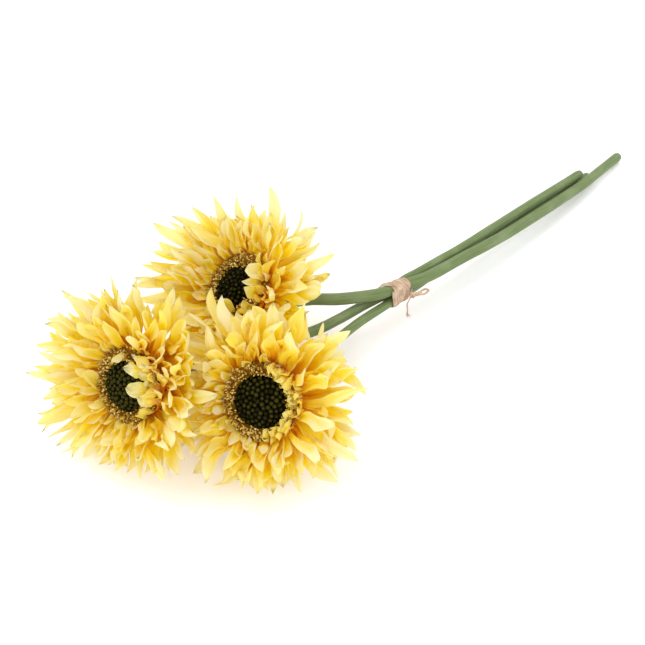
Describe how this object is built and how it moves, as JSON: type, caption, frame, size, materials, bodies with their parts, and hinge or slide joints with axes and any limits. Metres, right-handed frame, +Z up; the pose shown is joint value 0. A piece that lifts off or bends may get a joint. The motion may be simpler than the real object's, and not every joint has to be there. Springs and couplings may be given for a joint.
{
  "type": "tied bunch of gerberas",
  "caption": "Cut gerbera daisies with layered yellow petals and dark button eyes, tied at the stems with raffia and lying on their side.",
  "frame": {"origin": "on the surface that the bunch lies on, under the middle of its outline", "axes": "+Z up from the surface, +Y along the stems towards their cut ends, +X to the side, so that the flower heads lie at -Y"},
  "size_m": [0.1814, 0.4601, 0.0998],
  "materials": {
    "petals": "matte, butter yellow with pale edges and golden roots",
    "eye": "matte, closely packed green-black beads",
    "florets": "fuzzy tan with dark brown gaps",
    "calyx": "matte sage green, scaled",
    "stem": "matte sage green with faint lengthwise ridges",
    "raffia": "dry, fibrous, pinkish tan"
  },
  "bodies": {
    "root": {"left_petals_outer": "petals", "left_petals_second": "petals", "left_petals_third": "petals", "left_petals_fourth": "petals", "left_petals_inner": "petals", "left_eye": "eye", "left_floret_ring": "florets", "left_calyx": "calyx", "left_stem": "stem", "right_petals_outer": "petals", "right_petals_second": "petals", "right_petals_third": "petals", "right_petals_fourth": "petals", "right_petals_inner": "petals", "right_eye": "eye", "right_floret_ring": "florets", "right_calyx": "calyx", "right_stem": "stem", "top_petals_outer": "petals", "top_petals_second": "petals", "top_petals_third": "petals", "top_petals_fourth": "petals", "top_petals_inner": "petals", "top_eye": "eye", "top_floret_ring": "florets", "top_calyx": "calyx", "top_stem": "stem", "raffia_band": "raffia", "raffia_knot": "raffia", "raffia_loop": "raffia", "raffia_tail": "raffia"}
  },
  "joints": []
}
